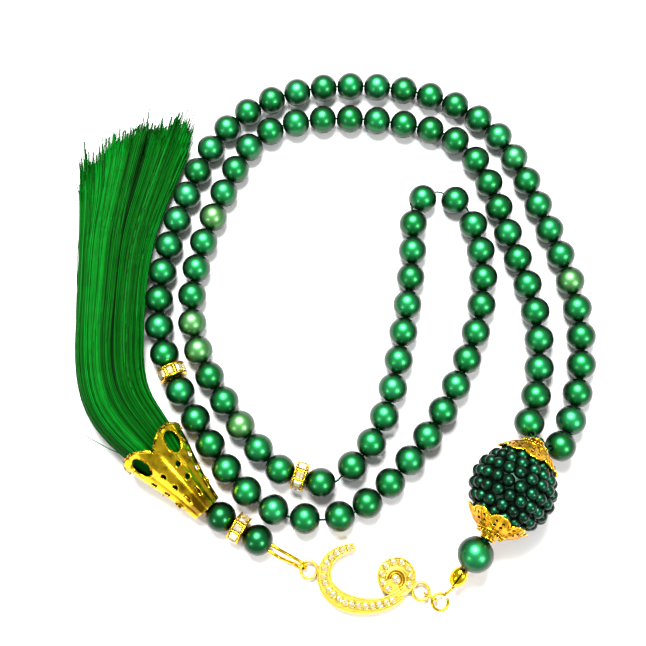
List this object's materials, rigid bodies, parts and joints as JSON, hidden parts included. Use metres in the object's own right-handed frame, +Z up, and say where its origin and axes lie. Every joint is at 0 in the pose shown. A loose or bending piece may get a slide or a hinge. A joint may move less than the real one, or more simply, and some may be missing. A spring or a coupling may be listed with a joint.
{
  "type": "misbaha prayer beads",
  "caption": "String of round pearl prayer beads with stone-set dividers, studded leader bead in filigree caps, pave crescent charm and threaded tassel in a lobed cap.",
  "frame": {"origin": "on the surface the beads lie on, under the middle of the laid-out object's box", "axes": "+Z up from the surface; +Y from the charm towards the far bend of the strand and the tassel's cut ends; +X towards the leader bead's side"},
  "size_m": [0.1434, 0.1536, 0.0229],
  "materials": {
    "pearl": "pearlescent emerald green coating",
    "imam_pearl": "pearlescent deep green half-bead studs",
    "cord": "twisted green nylon cord",
    "gold": "bright yellow gold plate, polished",
    "filigree": "yellow gold plate with stamped filigree relief",
    "crystal": "faceted clear crystal",
    "tassel": "glossy green viscose threads"
  },
  "bodies": {
    "strand_right": {"set_1_beads_right": "pearl", "set_2_beads_right": "pearl", "set_3_beads_right": "pearl", "cord_right": "cord"},
    "strand_middle": {"set_1_beads_middle": "pearl", "set_2_beads_middle": "pearl", "set_3_beads_middle": "pearl", "cord_middle": "cord"},
    "strand_left": {"set_1_beads_left": "pearl", "set_2_beads_left": "pearl", "set_3_beads_left": "pearl", "cord_left": "cord"},
    "counting_bead": {"counting_bead": "pearl"},
    "divider_1": {"divider_1_ring": "gold", "divider_1_stones": "crystal"},
    "divider_2": {"divider_2_ring": "gold", "divider_2_stones": "crystal"},
    "imam_bead": {"imam_core": "imam_pearl", "imam_studs": "imam_pearl"},
    "imam_upper_cap": {"imam_upper_cap": "filigree"},
    "imam_lower_cap": {"imam_lower_cap": "filigree"},
    "lower_pearl": {"lower_pearl": "pearl"},
    "clamshell": {"clamshell_cup": "gold", "clamshell_lid": "gold"},
    "jump_ring": {"jump_ring": "gold"},
    "charm": {"crescent_charm": "gold", "charm_stones": "crystal"},
    "hairpin": {"hairpin_wire": "gold"},
    "pendant_bead_1": {"pendant_bead_1": "pearl"},
    "pendant_divider": {"pendant_divider_ring": "gold", "pendant_divider_stones": "crystal"},
    "pendant_bead_2": {"pendant_bead_2": "pearl"},
    "tassel_cap": {"cone_cap": "gold", "tassel_binding": "tassel"},
    "tassel": {"tassel_skirt": "tassel"}
  },
  "joints": [
    {"name": "strand_fold_inner", "type": "hinge", "parent": "strand_right", "child": "strand_middle", "pos_m": [0.00177, 0, 0.00395], "axis": [0, 1, 0], "range_deg": [0, 70]},
    {"name": "strand_fold_outer", "type": "hinge", "parent": "strand_middle", "child": "strand_left", "pos_m": [-0.02103, 0, 0.00395], "axis": [0, 1, 0], "range_deg": [0, 70]},
    {"name": "counting_bead_slide", "type": "slide", "parent": "strand_middle", "child": "counting_bead", "axis": [0.9893, -0.1461, 0], "range_m": [0, 0.0009]},
    {"name": "divider_1_spin", "type": "hinge", "parent": "strand_middle", "child": "divider_1", "pos_m": [-0.01052, -0.04077, 0.00395], "axis": [0.9333, -0.359, 0], "continuous": true},
    {"name": "divider_2_spin", "type": "hinge", "parent": "strand_left", "child": "divider_2", "pos_m": [-0.04411, -0.01102, 0.00395], "axis": [-0.3647, 0.9311, 0], "continuous": true},
    {"name": "imam_bead_spin", "type": "hinge", "parent": "strand_right", "child": "imam_bead", "pos_m": [0.0433, -0.0476, 0.01125], "axis": [0.5446, 0.8387, 0], "continuous": true},
    {"name": "upper_cap_spin", "type": "hinge", "parent": "strand_right", "child": "imam_upper_cap", "pos_m": [0.05103, -0.03569, 0.01125], "axis": [0.5446, 0.8387, 0], "continuous": true},
    {"name": "lower_cap_spin", "type": "hinge", "parent": "strand_right", "child": "imam_lower_cap", "pos_m": [0.03557, -0.05951, 0.01125], "axis": [0.5446, 0.8387, 0], "continuous": true},
    {"name": "lower_pearl_spin", "type": "hinge", "parent": "strand_right", "child": "lower_pearl", "pos_m": [0.03262, -0.06302, 0.0094], "axis": [-0.596, -0.7103, -0.3746], "continuous": true},
    {"name": "clamshell_swing", "type": "hinge", "parent": "strand_right", "child": "clamshell", "pos_m": [0.02983, -0.06636, 0.00761], "axis": [0, 0, 1], "range_deg": [0, 8]},
    {"name": "jump_ring_swing", "type": "hinge", "parent": "clamshell", "child": "jump_ring", "pos_m": [0.02185, -0.07323, 0.0022], "axis": [0, 0, 1], "range_deg": [0, 35]},
    {"name": "charm_swing", "type": "hinge", "parent": "jump_ring", "child": "charm", "pos_m": [0.02083, -0.0726, 0.0022], "axis": [0, 0, 1], "range_deg": [0, 22]},
    {"name": "hairpin_swing", "type": "hinge", "parent": "charm", "child": "hairpin", "pos_m": [-0.01131, -0.06345, 0.0015], "axis": [0, 0, 1], "range_deg": [0, 18]},
    {"name": "pendant_bead_1_spin", "type": "hinge", "parent": "hairpin", "child": "pendant_bead_1", "pos_m": [-0.0223, -0.0565, 0.00395], "axis": [-0.829, 0.5592, 0], "continuous": true},
    {"name": "pendant_divider_spin", "type": "hinge", "parent": "hairpin", "child": "pendant_divider", "pos_m": [-0.02701, -0.05332, 0.00395], "axis": [-0.829, 0.5592, 0], "continuous": true},
    {"name": "pendant_bead_2_spin", "type": "hinge", "parent": "hairpin", "child": "pendant_bead_2", "pos_m": [-0.03172, -0.05015, 0.00395], "axis": [-0.829, 0.5592, 0], "continuous": true},
    {"name": "tassel_cap_swing", "type": "hinge", "parent": "hairpin", "child": "tassel_cap", "pos_m": [-0.03528, -0.04774, 0.00395], "axis": [0, 0, 1], "range_deg": [0, 10]},
    {"name": "tassel_swing", "type": "hinge", "parent": "tassel_cap", "child": "tassel", "pos_m": [-0.04644, -0.03406, 0.00758], "axis": [0, 0, 1], "range_deg": [0, 10]}
  ]
}
